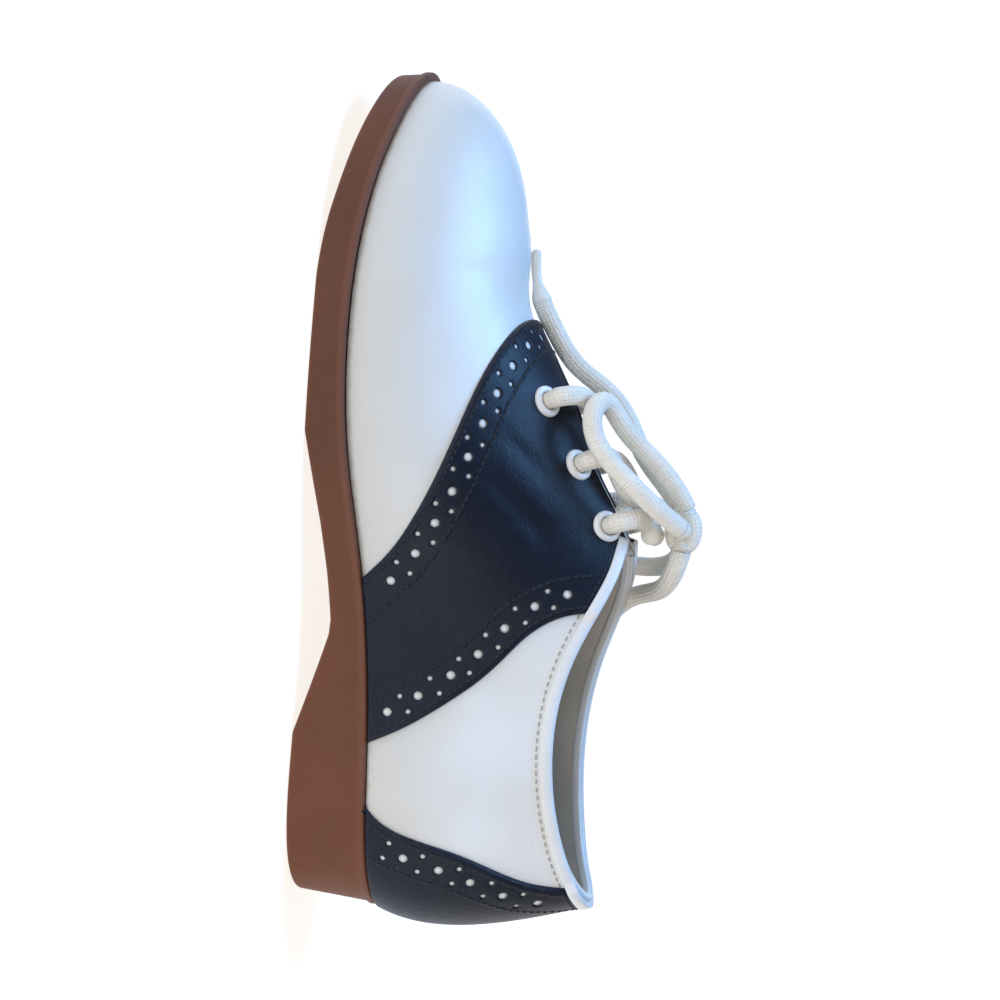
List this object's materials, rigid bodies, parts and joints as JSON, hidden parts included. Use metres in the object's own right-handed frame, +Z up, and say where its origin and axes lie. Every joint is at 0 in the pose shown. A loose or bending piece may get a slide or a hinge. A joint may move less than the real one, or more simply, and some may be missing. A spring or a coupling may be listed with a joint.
{
  "type": "saddle shoe",
  "caption": "Low-cut lace-up saddle shoe: white leather upper, black saddle and heel counter with punched edges, white eyelets, round laces in a bow and a brown moulded sole with a low heel.",
  "frame": {"origin": "on the floor under the middle of the shoe, measured without the free laces", "axes": "+Z up, -Y to the toe, +X to the outer side of this left shoe"},
  "size_m": [0.0855, 0.2464, 0.1084],
  "materials": {
    "sole": "smooth moulded rubber, brick brown, satin",
    "insole": "thin beige insole cover over board",
    "upper": "smooth coated white leather, soft gloss",
    "overlay": "smooth coated black leather, soft gloss",
    "tongue": "greyish white leather, matt",
    "eyelet": "white enamelled metal",
    "lace": "off-white braided cotton cord"
  },
  "bodies": {
    "root": {"sole_unit": "sole", "insole": "insole", "upper": "upper", "saddle": "overlay", "counter": "overlay", "tongue": "tongue", "eyelet_outer_1": "eyelet", "eyelet_inner_1": "eyelet", "eyelet_outer_2": "eyelet", "eyelet_inner_2": "eyelet", "eyelet_outer_3": "eyelet", "eyelet_inner_3": "eyelet", "lace_bar_front": "lace", "lace_crossing": "lace", "lace_bar_top": "lace", "lace_knot": "lace", "lace_loop_outer": "lace", "lace_loop_inner": "lace", "lace_end_long": "lace", "lace_end_short": "lace"}
  },
  "joints": []
}
